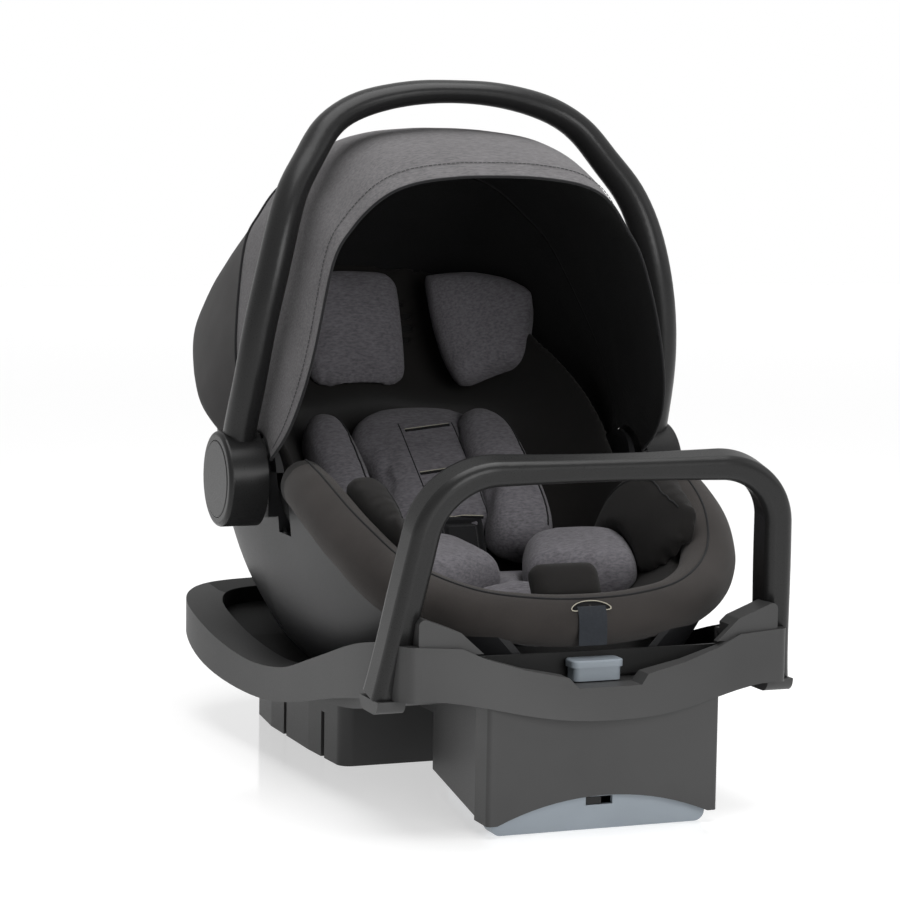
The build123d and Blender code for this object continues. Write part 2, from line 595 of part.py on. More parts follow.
parts["hip_left"] = hip_l
parts["wing_right"] = wing
parts["wing_left"] = mirrored(wing)
parts["side_bolster_right"] = cut(side, hip_r, bolster_r, parts["front_roll"])
parts["side_bolster_left"] = cut(mirrored(side), hip_l, bolster_l, parts["front_roll"])
PAD = [(-58, -64), (0, -68), (58, -64), (62, 0), (56, 60), (0, 66), (-56, 60), (-62, 0)]
pad = form((0, -96, 163), (0, 1, 0), (0, 0, 1), PAD, 12) & inside
parts["seat_pad"] = pad - hip_r - hip_l - bolster_r
parts["crotch_pad"] = pillow((0, -218, 188), (0, 0.5, 0.86), (0, -0.86, 0.5), 31, 18, 16, 9) & inside
buckle_at = Pos(0, -6, 173) * Rot(20, 0, 0)
buckle = fillet((buckle_at * Box(40, 30, 12)).edges(), 2.5)
PRESS_T = 5.0          # thickness of the buckle's button
PRESS_TRAVEL = 2.5
parts["buckle_button"] = buckle_at * Pos(0, -8, 4.5) * Box(16, 9, PRESS_T)
pocket = Box(16 + 2 * CLEAR, 9 + 2 * CLEAR, 2 * (PRESS_T / 2 + PRESS_TRAVEL + 1))
parts["buckle"] = buckle - buckle_at * Pos(0, -8, 4.5) * pocket
WEB_W = 22.0
strap = pillow((0, 8, 193), (0, 0.41, 0.91), (0, -0.91, 0.41), WEB_W, 26, 3, 3)
parts["harness_webbing"] = cut(strap & inside, insert, buckle, bolster_r, bolster_l)
STRAP_W = 25.0
STRAP_T = 1.6
ring = Ellipse(20.15 + STRAP_T, ROLL_H + 0.15 + STRAP_T) - Ellipse(20.15, ROLL_H + 0.15)
ring = Plane(origin=(0, ROLL_Y, ROLL_Z), x_dir=(0, 1, 0), z_dir=(1, 0, 0)) * ring
strap = extrude(ring, amount=STRAP_W / 2, dir=(1, 0, 0), both=True)
strap = strap & box(-20, 20, ROLL_Y - 40, ROLL_Y - 10, ROLL_Z, 200)
front = ROLL_Y - 20.15
STRAP_END = BTN_Z + 17 + BTN_TRAVEL + 2
strap = strap + box(-STRAP_W / 2, STRAP_W / 2, front - STRAP_T, front, STRAP_END, ROLL_Z)
parts["adjuster_strap"] = strap - parts["front_roll"]

for name, shape in parts.items():
    export_step(shape, f"parts/{name}.step")
    print(name, len(shape.solids()), round(shape.volume / 1000, 1), shape.is_valid)
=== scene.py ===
import math
from functools import cache

import bmesh
import bpy
import numpy as np
from bpy.props import FloatProperty, FloatVectorProperty, IntProperty, PointerProperty
from mathutils import Matrix, Vector, noise


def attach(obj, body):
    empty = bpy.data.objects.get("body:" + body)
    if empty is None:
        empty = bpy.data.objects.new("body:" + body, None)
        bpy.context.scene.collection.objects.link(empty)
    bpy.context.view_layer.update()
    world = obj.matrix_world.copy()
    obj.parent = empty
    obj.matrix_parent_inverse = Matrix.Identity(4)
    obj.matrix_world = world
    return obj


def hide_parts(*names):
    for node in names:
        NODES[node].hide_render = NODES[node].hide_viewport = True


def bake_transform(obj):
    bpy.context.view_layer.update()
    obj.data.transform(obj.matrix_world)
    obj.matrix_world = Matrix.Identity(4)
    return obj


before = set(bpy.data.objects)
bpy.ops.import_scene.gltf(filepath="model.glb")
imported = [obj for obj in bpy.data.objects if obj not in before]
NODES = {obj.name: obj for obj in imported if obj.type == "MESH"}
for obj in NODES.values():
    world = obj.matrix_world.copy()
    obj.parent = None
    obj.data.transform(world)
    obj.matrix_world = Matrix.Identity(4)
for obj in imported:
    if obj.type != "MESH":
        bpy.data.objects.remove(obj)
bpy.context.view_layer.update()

bl_info = {
    "name": "Infant car seat looks",
    "version": (1, 0, 0),
    "blender": (4, 5, 0),
    "location": "View3D > Sidebar > Car seat",
    "description": "Fabrics, padding, stitching and studio for an infant car seat on its base",
    "category": "Object",
}

STEPS = ("plastics", "canopy", "cover", "padding", "straps", "stage")
HUB = np.array((0.0, 0.0505, 0.254))

# Half outline of a canopy bow, in mm: half width and distance from the pivot
HOOD = [(183.5, 40), (182, 75), (174, 130), (151, 216), (131, 250), (108, 277), (81, 291), (42, 297.5),
        (0, 299)]
HOOD_LOW = 40.0
HOOD_SPAN = 259.0
# The bow along the canopy: angle from +Y, distance of its top from the pivot, and bulge of its sides
HOOD_STEPS = [(113.6, 299, 0), (95, 313, 0), (77, 322, 3), (58, 330, 8), (45, 340, 17), (33, 352, 26),
              (25, 359, 28), (21, 352, 12), (18, 344, -6)]
EDGE_ANGLE = 113.6
SEAM_ANGLE = 58.0
SKIRT_ANGLE = 18.0
# How far the front edge reaches forward beside the hubs, in degrees
EDGE_REACH = 37.0
CLOTH_T = 0.0014
CLOTH_INSET = 0.6
CLOTH_COLS = 150
CLOTH_RIPPLE = 0.0008

# Outline of a head wing on its own plane, in mm, and that plane's centre, upward and outward directions
WING = [(-56, 64), (-23, 63), (6, 58), (36, 47), (58, 32), (54, 16), (49, -8), (44, -28), (34, -42),
        (14, -46), (0, -50), (-28, -56), (-40, -36), (-47, -12), (-53, 26)]
WING_AT = ((124, 268, 368), (0, 0.3, 0.95), (-0.5, -0.82, 0.28))
WING_T = 30.0
WING_CLEAR = 8.0
# Layers of a wing: share of its thickness and of its outline
WING_LAYERS = ((-0.25, 0.93), (0.15, 1.0), (0.6, 0.96), (0.88, 0.83), (1.0, 0.58))

# Centre line of the front roll on the right side, in mm, with how much fuller it is outward and below
ROLL = [(164, -12, 258, 0, 0), (167, -50, 254, 3, 0), (168, -90, 246, 5, 1), (160, -150, 222, 7, 4),
        (137, -202, 193, 8, 7), (97, -239, 175, 4, 2), (50, -255, 168, 1, 0)]
ROLL_Y = -259.0
ROLL_Z = 166.0
ROLL_R = 20.0
ROLL_H = 22.0
# The roll's seam from its centre line, and the black end on the left, in metres
ROLL_SEAM = (-9, 20)
ROLL_END_Y = -0.045

# The base's sunken tub deck, which gets painted shade (a much darker copy of the base plastic): half width,
# front end and upper limit, in metres
SHADE_DECK_W = 0.15
SHADE_DECK_Y = -0.295
SHADE_DECK_Z = 0.141

# Harness slots of the insert: place up its slope and half width, in mm
INSERT_SLOTS = ((60, 23), (2, 25), (-59, 22))
INSERT_FACE = 6
FOLD_X = 27
FOLD_RISE = (66, 40, 10, -20, -55)
BOLSTER_SEAM_X = {"left": -84, "right": 78}
BOLSTER_SEAM_RISE = (70, 30, -10, -50, -92)
BOLSTER_SEAM_H = 26
SIDE_SEAM = ((110, -60, 235), (112, -90, 262), (116, -130, 270), (112, -180, 255))

# The adjuster strap and the slot that it comes out of, in mm
STRAP_HALF = 12.5
STRAP_T = 1.3
SLOT_HALF = 17.5
SLOT_AT = (-14, 13.5)

# The photograph's camera, in metres
CAMERA_PLACE = (-0.9622, -2.3850, 0.5561)
CAMERA_RIGHT = (0.93022, -0.36665, 0.01610)
CAMERA_UP = (0.02431, 0.10532, 0.99414)
CAMERA_BACK = (-0.36620, -0.92438, 0.10688)
CAMERA_LENS = 114.23
SENSOR_WIDTH = 36
LOOK_AT = (0, 0, 0.28)


class CarSeatSettings(bpy.types.PropertyGroup):
    base_colour: FloatVectorProperty(
        name="Base plastic", description="Colour of the base's mouldings", subtype="COLOR", size=3,
        default=(0.05, 0.05, 0.05))
    shell_colour: FloatVectorProperty(
        name="Shell plastic", description="Colour of the carrier's shell", subtype="COLOR", size=3,
        default=(0.012, 0.012, 0.013))
    handle_colour: FloatVectorProperty(
        name="Handle plastic", description="Colour of the handle and its buttons", subtype="COLOR", size=3,
        default=(0.012, 0.012, 0.0122))
    accent_colour: FloatVectorProperty(
        name="Grey-blue plastic", description="Colour of the release button and the recline foot",
        subtype="COLOR", size=3, default=(0.27, 0.305, 0.34))
    heather_colour: FloatVectorProperty(
        name="Insert fabric", description="Colour of the head panel, wings, insert and bolsters",
        subtype="COLOR", size=3, default=(0.112, 0.107, 0.117))
    canopy_colour: FloatVectorProperty(
        name="Canopy fabric", description="Colour of the canopy's front panel", subtype="COLOR", size=3,
        default=(0.112, 0.108, 0.111))
    cover_colour: FloatVectorProperty(
        name="Cover fabric", description="Colour of the black seat cover", subtype="COLOR", size=3,
        default=(0.011, 0.01, 0.0095))
    roll_colour: FloatVectorProperty(
        name="Roll fabric", description="Colour of the front roll", subtype="COLOR", size=3,
        default=(0.034, 0.03, 0.028))
    voxel: FloatProperty(
        name="Padding mesh size", description="Voxel size of the cushions before they are filled",
        subtype="DISTANCE", unit="LENGTH", default=0.0045, min=0.003, max=0.008)
    pressure: FloatProperty(
        name="Padding pressure", description="Cloth pressure that fills the cushions",
        default=4.0, min=0.0, max=12.0)
    frames: IntProperty(
        name="Padding frames", description="Number of frames for which the cushions fill",
        default=20, min=1, max=60)
    stitch_length: FloatProperty(
        name="Stitch length", description="Distance from one stitch to the next", subtype="DISTANCE",
        unit="LENGTH", default=0.0042, min=0.001, max=0.02)
    key_light: FloatProperty(
        name="Key light", description="Strength that the top and front lamps share", unit="POWER",
        default=20.0, min=0.0)
    fill_light: FloatProperty(
        name="Fill light", description="Strength of the side lamp", unit="POWER", default=5.0, min=0.0)


def settings():
    return bpy.context.scene.car_seat


def rgb(value):
    return (value[0], value[1], value[2], 1.0)


# Node helpers

class Nodes:
    """A material's nodes, made one after another."""

    def __init__(self, name):
        self.mat = bpy.data.materials.new(name)
        self.mat.use_nodes = True
        self.tree = self.mat.node_tree
        self.shader = self.tree.nodes["Principled BSDF"]

    def add(self, kind, **values):
        node = self.tree.nodes.new(kind)
        for key, value in values.items():
            if key.startswith("in_"):
                node.inputs[key[3:].replace("_", " ")].default_value = value
            else:
                setattr(node, key, value)
        return node

    def link(self, out, into):
        self.tree.links.new(out, into)

    def coords(self, scale=(1, 1, 1)):
        source = self.add("ShaderNodeTexCoord")
        mapping = self.add("ShaderNodeMapping")
        mapping.inputs["Scale"].default_value = scale
        self.link(source.outputs["Object"], mapping.inputs["Vector"])
        return mapping.outputs["Vector"]

    def noise(self, vector, scale, detail=2.0, roughness=0.5):
        node = self.add("ShaderNodeTexNoise", in_Scale=scale, in_Detail=detail, in_Roughness=roughness)
        self.link(vector, node.inputs["Vector"])
        return node.outputs["Fac"]

    def wave(self, vector, scale, axis, distortion=0.0):
        node = self.add("ShaderNodeTexWave", bands_direction=axis, in_Scale=scale, in_Distortion=distortion)
        self.link(vector, node.inputs["Vector"])
        return node.outputs["Fac"]

    def remap(self, value, low, high, to_low, to_high):
        node = self.add("ShaderNodeMapRange")
        for key, x in (("From Min", low), ("From Max", high), ("To Min", to_low), ("To Max", to_high)):
            node.inputs[key].default_value = x
        self.link(value, node.inputs["Value"])
        return node.outputs["Result"]

    def math(self, operation, a, b):
        node = self.add("ShaderNodeMath", operation=operation)
        for socket, value in zip(node.inputs, (a, b)):
            if isinstance(value, (int, float)):
                socket.default_value = value
            else:
                self.link(value, socket)
        return node.outputs[0]

    def mix(self, factor, a, b):
        node = self.add("ShaderNodeMix", data_type="RGBA")
        sockets = [s for s in node.inputs if s.type == "RGBA"]
        if isinstance(factor, (int, float)):
            node.inputs[0].default_value = factor
        else:
            self.link(factor, node.inputs[0])
        for socket, value in zip(sockets, (a, b)):
            if isinstance(value, tuple):
                socket.default_value = value
            else:
                self.link(value, socket)
        return [s for s in node.outputs if s.type == "RGBA"][0]

    def bump(self, height, strength, distance):
        node = self.add("ShaderNodeBump", in_Strength=strength, in_Distance=distance)
        self.link(height, node.inputs["Height"])
        self.link(node.outputs["Normal"], self.shader.inputs["Normal"])

    def set(self, **values):
        for key, value in values.items():
            socket = self.shader.inputs[key.replace("_", " ")]
            if isinstance(value, (int, float, tuple)):
                socket.default_value = value
            else:
                self.link(value, socket)
        return self.mat


def scaled(colour, factor):
    return tuple(c * factor for c in colour[:3]) + (1.0,)


def plastic(name, colour, rough, grain):
    n = Nodes(name)
    at = n.coords()
    broad = n.noise(at, 9.0, 3.0)
    fine = n.noise(at, 1400.0, 2.0)
    tint = n.mix(n.remap(broad, 0.35, 0.65, 0.0, 1.0), scaled(colour, 0.93), scaled(colour, 1.08))
    n.bump(fine, grain, 0.0003)
    return n.set(Base_Color=tint, Roughness=n.remap(fine, 0.3, 0.7, rough - 0.05, rough + 0.05),
                 Specular_IOR_Level=0.24)


def fabric(name, colour, fleck, spread, sheen, weave=900.0, stretch=(1, 1, 1)):
    """Woven cloth: crossed threads for the relief, and lighter flecks along them for a heather look."""
    n = Nodes(name)
    at = n.coords()
    threads = n.coords(scale=stretch)
    flecks = n.noise(threads, 520.0, 3.0, 0.62)
    cloud = n.noise(at, 34.0, 3.0)
    warp = n.wave(at, weave, "X", 1.5)
    weft = n.wave(at, weave, "Z", 1.5)
    relief = n.math("ADD", n.math("MULTIPLY", warp, weft), n.math("MULTIPLY", flecks, 0.5))
    ground = n.mix(n.remap(cloud, 0.3, 0.7, 0.0, 1.0), scaled(colour, 0.88), scaled(colour, 1.1))
    tint = n.mix(n.remap(flecks, 0.5 - spread, 0.5 + spread, 0.0, fleck), ground, scaled(colour, 2.6))
    n.bump(relief, 0.35, 0.0006)
    return n.set(Base_Color=tint, Roughness=n.remap(flecks, 0.3, 0.7, 0.82, 0.95), Sheen_Weight=sheen,
                 Sheen_Roughness=0.5, Specular_IOR_Level=0.2)


def thread(name, colour):
    n = Nodes(name)
    twist = n.wave(n.coords(), 1100.0, "DIAGONAL", 0.5)
    n.bump(twist, 0.5, 0.0004)
    tint = n.mix(twist, scaled(colour, 0.8), scaled(colour, 1.15))
    return n.set(Base_Color=tint, Roughness=0.75, Sheen_Weight=0.1)


def steel(name, colour):
    n = Nodes(name)
    brush = n.noise(n.coords(scale=(20, 400, 400)), 3.0, 3.0)
    n.bump(brush, 0.08, 0.0002)
    return n.set(Base_Color=rgb(colour), Metallic=1.0, Roughness=n.remap(brush, 0.3, 0.7, 0.28, 0.4))


MATERIALS = {}


def material(key):
    """A material of the car seat, made once from the settings."""
    if key in MATERIALS:
        return MATERIALS[key]
    s = settings()
    made = {
        "base": lambda: plastic("base_plastic", s.base_colour, 0.48, 0.12),
        "bar": lambda: plastic("bar_plastic", scaled(s.base_colour, 0.24), 0.31, 0.05),
        "shell": lambda: plastic("shell_plastic", s.shell_colour, 0.45, 0.12),
        "handle": lambda: plastic("handle_plastic", s.handle_colour, 0.31, 0.05),
        "accent": lambda: plastic("grey_plastic", s.accent_colour, 0.42, 0.05),
        "buckle": lambda: plastic("buckle_plastic", (0.008, 0.008, 0.008), 0.35, 0.05),
        "press": lambda: plastic("button_plastic", (0.02, 0.02, 0.022), 0.4, 0.05),
        "steel": lambda: steel("zinc_steel", (0.55, 0.55, 0.56)),
        "foam": lambda: plastic("foam_bead", (0.008, 0.008, 0.008), 0.9, 0.8),
        # Painted shade: a much darker copy of the base plastic for the tub deck, which lies in shadow behind
        # the fascia; the deck is the same moulding as the rest of the base
        "deck": lambda: plastic("deck_painted_shade", scaled(s.base_colour, 0.2), 0.6, 0.12),
        "heather": lambda: fabric("heather_fabric", s.heather_colour, 0.45, 0.16, 0.12, stretch=(0.35, 1, 1)),
        "canopy": lambda: fabric("canopy_fabric", s.canopy_colour, 0.4, 0.16, 0.1, stretch=(0.3, 1, 1)),
        "canopy_dark": lambda: fabric("canopy_dark", (0.045, 0.043, 0.043), 0.12, 0.2, 0.1),
        # Near-black lining cloth for the canopy's inner side; it also serves as painted shade in the harness
        # and adjuster slot openings
        "lining": lambda: fabric("canopy_lining_and_slot_shade", (0.007, 0.007, 0.0075), 0.05, 0.2, 0.04),
        "cover": lambda: fabric("cover_fabric", s.cover_colour, 0.1, 0.2, 0.06),
        "roll": lambda: fabric("roll_fabric", s.roll_colour, 0.12, 0.2, 0.1),
        "binding": lambda: fabric("binding_tape", (0.012, 0.012, 0.013), 0.1, 0.2, 0.08, weave=1500.0),
        "webbing": lambda: fabric("webbing", (0.022, 0.025, 0.03), 0.25, 0.2, 0.08, weave=1300.0),
        "thread": lambda: thread("dark_thread", (0.03, 0.03, 0.032)),
        "pale": lambda: thread("pale_edge", (0.5, 0.47, 0.38)),
    }
    MATERIALS[key] = made[key]()
    return MATERIALS[key]


# Mesh helpers

def new_object(name, verts, faces, *mats, smooth=True):
    mesh = bpy.data.meshes.new(name)
    mesh.from_pydata([tuple(v) for v in verts], [], faces)
    mesh.validate()
    mesh.update()
    obj = bpy.data.objects.new(name, mesh)
    bpy.context.scene.collection.objects.link(obj)
    for mat in mats:
        mesh.materials.append(mat)
    if smooth:
        mesh.polygons.foreach_set("use_smooth", [True] * len(mesh.polygons))
    return obj


def settle(obj):
    """Replaces an object's mesh by its evaluated one, with the modifiers taken off."""
    depsgraph = bpy.context.evaluated_depsgraph_get()
    mesh = bpy.data.meshes.new_from_object(obj.evaluated_get(depsgraph), depsgraph=depsgraph)
    obj.modifiers.clear()
    obj.data = mesh
    return obj


def points(obj):
    co = np.zeros(len(obj.data.vertices) * 3)
    obj.data.vertices.foreach_get("co", co)
    return co.reshape(-1, 3)


def set_points(obj, co):
    obj.data.vertices.foreach_set("co", np.asarray(co, float).ravel())
    obj.data.update()


def flow(pts, count):
    """Points along a smooth curve through pts, evenly spaced."""
    p = np.array(pts, float)
    p = np.vstack([2 * p[0] - p[1], p, 2 * p[-1] - p[-2]])
    out = []
    for a, b, c, d in zip(p, p[1:], p[2:], p[3:]):
        for t in np.linspace(0, 1, 24, endpoint=False):
            square, cube = 2 * a - 5 * b + 4 * c - d, 3 * b - a - 3 * c + d
            out.append(0.5 * (2 * b + (c - a) * t + square * t ** 2 + cube * t ** 3))
    out.append(p[-2])
    out = np.array(out)
    length = np.concatenate([[0], np.cumsum(np.linalg.norm(np.diff(out, axis=0), axis=1))])
    at = np.linspace(0, length[-1], count)
    return np.stack([np.interp(at, length, out[:, k]) for k in range(out.shape[1])], axis=1)


def grid_faces(rows, cols, wrap=False):
    faces = []
    for i in range(rows - 1):
        for j in range(cols if wrap else cols - 1):
            k = (j + 1) % cols
            faces.append((i * cols + j, (i + 1) * cols + j, (i + 1) * cols + k, i * cols + k))
    return faces


def copy_of(node, name):
    """A welded copy of a CAD node's mesh, as an object of its own."""
    obj = bpy.data.objects.new(name, NODES[node].data.copy())
    bpy.context.scene.collection.objects.link(obj)
    obj.data.materials.clear()
    work = bmesh.new()
    work.from_mesh(obj.data)
    bmesh.ops.remove_doubles(work, verts=work.verts, dist=1e-5)
    work.to_mesh(obj.data)
    work.free()
    return obj


def add_modifier(obj, kind, **values):
    mod = obj.modifiers.new(kind.lower(), kind)
    for key, value in values.items():
        setattr(mod, key, value)
    return mod


def puff(obj, pressure, cap):
    """Fills a closed cushion with cloth pressure, and holds each point within cap of its start."""
    scene = bpy.context.scene
    start = points(obj)
    mod = add_modifier(obj, "CLOTH")
    cloth = mod.settings
    cloth.quality = 4
    cloth.mass = 0.25
    cloth.use_pressure = True
    cloth.uniform_pressure_force = pressure
    cloth.tension_stiffness = 12
    cloth.compression_stiffness = 12
    cloth.shear_stiffness = 4
    cloth.bending_stiffness = 0.6
    cloth.effector_weights.gravity = 0
    mod.collision_settings.use_collision = False
    for index in range(1, settings().frames + 1):
        scene.frame_set(index)
    settle(obj)
    scene.frame_set(1)
    move = points(obj) - start
    far = np.linalg.norm(move, axis=1, keepdims=True)
    set_points(obj, start + move * np.minimum(1.0, cap / np.maximum(far, 1e-9)))


def cushion(node, key, cap=0.006, voxel=None, smooth=6, form=None, fine=True):
    """The padded piece that stands for a soft CAD solid, made from that solid or from a fuller form."""
    obj = form or copy_of(node, node + "_soft")
    size = voxel or settings().voxel
    add_modifier(obj, "REMESH", mode="VOXEL", voxel_size=size, use_smooth_shade=True)
    add_modifier(obj, "SMOOTH", factor=0.5, iterations=smooth)
    settle(obj)
    return finish_cushion(obj, node, key, cap, fine)


def finish_cushion(obj, node, key, cap=0.006, fine=True):
    """Fills a cushion's mesh, gives it its fabric and sets it in a CAD solid's place."""
    puff(obj, settings().pressure, cap)
    if fine:
        add_modifier(obj, "SUBSURF", levels=1, render_levels=1)
        settle(obj)
    obj.data.polygons.foreach_set("use_smooth", [True] * len(obj.data.polygons))
    obj.data.materials.clear()
    obj.data.materials.append(material(key))
    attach(obj, "carrier")
    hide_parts(node)
    return obj


def stitch_group():
    """Geometry nodes that lay short stitches along a curve."""
    name = "stitches"
    if name in bpy.data.node_groups:
        return bpy.data.node_groups[name]
    group = bpy.data.node_groups.new(name, "GeometryNodeTree")
    group.interface.new_socket("Geometry", in_out="INPUT", socket_type="NodeSocketGeometry")
    for label, value in (("Spacing", 0.0042), ("Length", 0.003), ("Radius", 0.0004)):
        socket = group.interface.new_socket(label, in_out="INPUT", socket_type="NodeSocketFloat")
        socket.default_value = value
    group.interface.new_socket("Thread", in_out="INPUT", socket_type="NodeSocketMaterial")
    group.interface.new_socket("Geometry", in_out="OUTPUT", socket_type="NodeSocketGeometry")
    add = group.nodes.new
    link = group.links.new
    entry = add("NodeGroupInput")
    leave = add("NodeGroupOutput")
    sample = add("GeometryNodeCurveToPoints")
    sample.mode = "LENGTH"
    link(entry.outputs["Geometry"], sample.inputs["Curve"])
    link(entry.outputs["Spacing"], sample.inputs["Length"])
    body = add("GeometryNodeMeshCylinder")
    body.inputs["Vertices"].default_value = 6
    link(entry.outputs["Radius"], body.inputs["Radius"])
    link(entry.outputs["Length"], body.inputs["Depth"])
    place = add("GeometryNodeInstanceOnPoints")
    link(sample.outputs["Points"], place.inputs["Points"])
    link(body.outputs["Mesh"], place.inputs["Instance"])
    align = add("FunctionNodeAlignRotationToVector")
    align.axis = "Z"
    link(sample.outputs["Tangent"], align.inputs["Vector"])
    link(align.outputs["Rotation"], place.inputs["Rotation"])
    real = add("GeometryNodeRealizeInstances")
    link(place.outputs["Instances"], real.inputs["Geometry"])
    paint = add("GeometryNodeSetMaterial")
    link(real.outputs["Geometry"], paint.inputs["Geometry"])
    link(entry.outputs["Thread"], paint.inputs["Material"])
    link(paint.outputs["Geometry"], leave.inputs["Geometry"])
    return group


def piping_group():
    """Geometry nodes that run a round cord along a curve."""
    name = "piping"
    if name in bpy.data.node_groups:
        return bpy.data.node_groups[name]
    group = bpy.data.node_groups.new(name, "GeometryNodeTree")
    group.interface.new_socket("Geometry", in_out="INPUT", socket_type="NodeSocketGeometry")
    socket = group.interface.new_socket("Radius", in_out="INPUT", socket_type="NodeSocketFloat")
    socket.default_value = 0.0015
    group.interface.new_socket("Thread", in_out="INPUT", socket_type="NodeSocketMaterial")
    group.interface.new_socket("Geometry", in_out="OUTPUT", socket_type="NodeSocketGeometry")
    add = group.nodes.new
    link = group.links.new
    entry = add("NodeGroupInput")
    leave = add("NodeGroupOutput")
    ring = add("GeometryNodeCurvePrimitiveCircle")
    ring.inputs["Resolution"].default_value = 8
    link(entry.outputs["Radius"], ring.inputs["Radius"])
    tube = add("GeometryNodeCurveToMesh")
    tube.inputs["Fill Caps"].default_value = True
    link(entry.outputs["Geometry"], tube.inputs["Curve"])
    link(ring.outputs["Curve"], tube.inputs["Profile Curve"])
    smooth = add("GeometryNodeSetShadeSmooth")
    link(tube.outputs["Mesh"], smooth.inputs["Geometry"])
    paint = add("GeometryNodeSetMaterial")
    link(smooth.outputs["Geometry"], paint.inputs["Geometry"])
    link(entry.outputs["Thread"], paint.inputs["Material"])
    link(paint.outputs["Geometry"], leave.inputs["Geometry"])
    return group


def traced(obj, pts, count, lift=0.0):
    """A smooth line through pts, in mm, laid on an object's surface and raised by lift."""
    bpy.context.view_layer.update()
    out = []
    for p in flow(pts, count) / 1000:
        place, normal = obj.closest_point_on_mesh(Vector(p))[1:3]
        out.append(place + normal * lift)
    return out


def along(name, lines, group, mat, **inputs):
    """A mesh made by a geometry-nodes group along one or more polylines."""
    curve = bpy.data.curves.new(name + "_path", "CURVE")
    curve.dimensions = "3D"
    for line in lines:
        spline = curve.splines.new("POLY")
        spline.points.add(len(line) - 1)
        for point, co in zip(spline.points, line):
            point.co = (co[0], co[1], co[2], 1.0)
    source = bpy.data.objects.new(name + "_source", curve)
    bpy.context.scene.collection.objects.link(source)
    mod = source.modifiers.new("nodes", "NODES")
    mod.node_group = group
    sockets = {i.name: i.identifier for i in group.interface.items_tree if i.in_out == "INPUT"}
    for key, value in inputs.items():
        mod[sockets[key]] = value
    mod[sockets["Thread"]] = mat
    depsgraph = bpy.context.evaluated_depsgraph_get()
    mesh = bpy.data.meshes.new_from_object(source.evaluated_get(depsgraph), depsgraph=depsgraph)
    bpy.data.objects.remove(source)
    obj = bpy.data.objects.new(name, mesh)
    bpy.context.scene.collection.objects.link(obj)
    return obj


def stitches(name, lines, key="thread", radius=0.0004):
    step = settings().stitch_length
    group = stitch_group()
    return along(name, lines, group, material(key), Spacing=step, Length=step * 0.7, Radius=radius)


def piping(name, lines, key="binding", radius=0.0015):
    return along(name, lines, piping_group(), material(key), Radius=radius)


def sew(obj):
    """Sets a sewn-on piece on the carrier."""
    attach(obj, "carrier")


def back_point(u, s, h):
    """A point of the insert, in mm: across, up its slope, and above its face."""
    across, rise, face = np.array(((1, 0, 0), (0, 0.798, 0.602), (0, -0.602, 0.798)))
    return np.array((0, 60, 250)) + u * across + s * rise + h * face


# Canopy

def smoothstep(t):
    t = np.clip(t, 0.0, 1.0)
    return t * t * (3 - 2 * t)


@cache
def hood_table():
    return flow(sorted(HOOD_STEPS), 200)


def hood_size(angle):
    """The canopy bow's distance from the pivot and its side bulge at an angle, in mm."""
    angles, radii, bulges = hood_table().T
    return np.interp(angle, angles, radii), np.interp(angle, angles, bulges)


def hood_swell(rho):
    """How much of the side bulge shows at a point of the bow's outline."""
    share = (rho - HOOD_LOW) / HOOD_SPAN
    return math.sin(math.pi * share) ** 0.7 if 0 < share < 1 else 0.0


def hood_half(y, z):
    """The canopy's half width, in mm, at a point of the side view."""
    y, z = y - 1000 * HUB[1], z - 1000 * HUB[2]
    radius, bulge = hood_size(math.degrees(math.atan2(z, y)))
    rho = HOOD_LOW + (math.hypot(y, z) - HOOD_LOW) * HOOD_SPAN / (radius - HOOD_LOW)
    widths, places = np.array(HOOD, float).T
    return np.interp(rho, places, widths) + bulge * hood_swell(rho)


def hood_row(angle, inset, cols):
    """One cross-line of the canopy at an angle from +Y about the pivot, drawn in by inset, in metres.

    Toward the front edge the cloth reaches further forward low down, beside the hubs."""
    radius, bulge = hood_size(angle)
    stretch = (radius - HOOD_LOW) / HOOD_SPAN
    half = [(w + bulge * hood_swell(rho), HOOD_LOW + (rho - HOOD_LOW) * stretch) for w, rho in HOOD]
    line = np.array([(-w, r) for w, r in half[:-1]] + [(w, r) for w, r in reversed(half)])
    line = flow(line, cols)
    tangent = np.gradient(line, axis=0)
    tangent /= np.linalg.norm(tangent, axis=1, keepdims=True)
    line = line + inset * np.stack([tangent[:, 1], -tangent[:, 0]], axis=1)
    reach = EDGE_REACH * smoothstep((angle - 80) / 33.6) * (1 - smoothstep((line[:, 1] - 50) / 210))
    a = np.radians(angle + reach)
    out = np.stack([line[:, 0], line[:, 1] * np.cos(a), line[:, 1] * np.sin(a)], axis=1) / 1000
    return out + HUB


def hood_sheet(name, angles, cols, ripple, outer, inner):
    """A canopy panel as one curved sheet with its lining on the inner side. Returns it with its flat area."""
    rows = [hood_row(a, CLOTH_INSET, cols) for a in angles]
    verts = np.concatenate(rows)
    for i, v in enumerate(verts):
        row, col = divmod(i, cols)
        free = math.sin(math.pi * row / (len(rows) - 1))
        wave = noise.noise(Vector(v) * 14.0) + 0.5 * noise.noise(Vector(v) * 37.0)
        out = Vector(v) - Vector(HUB)
        out.x *= 0.8
        verts[i] = v + np.array(out.normalized()) * (wave * ripple * free - ripple * free)
    obj = new_object(name, verts, grid_faces(len(rows), cols), outer, inner)
    area = sum(p.area for p in obj.data.polygons)
    add_modifier(obj, "SOLIDIFY", thickness=CLOTH_T, offset=-1.0, material_offset=1, material_offset_rim=1)
    settle(obj)
    return obj, area


def fold_span():
    """The points between which the front panel folds: on the seam's plane, and off it by the front edge."""
    a = math.radians(SEAM_ANGLE)
    away = np.array((0.0, -math.sin(a), math.cos(a)))
    edge = hood_row(EDGE_ANGLE, CLOTH_INSET, 3)[1] - HUB
    return HUB, HUB + away * edge.dot(away)


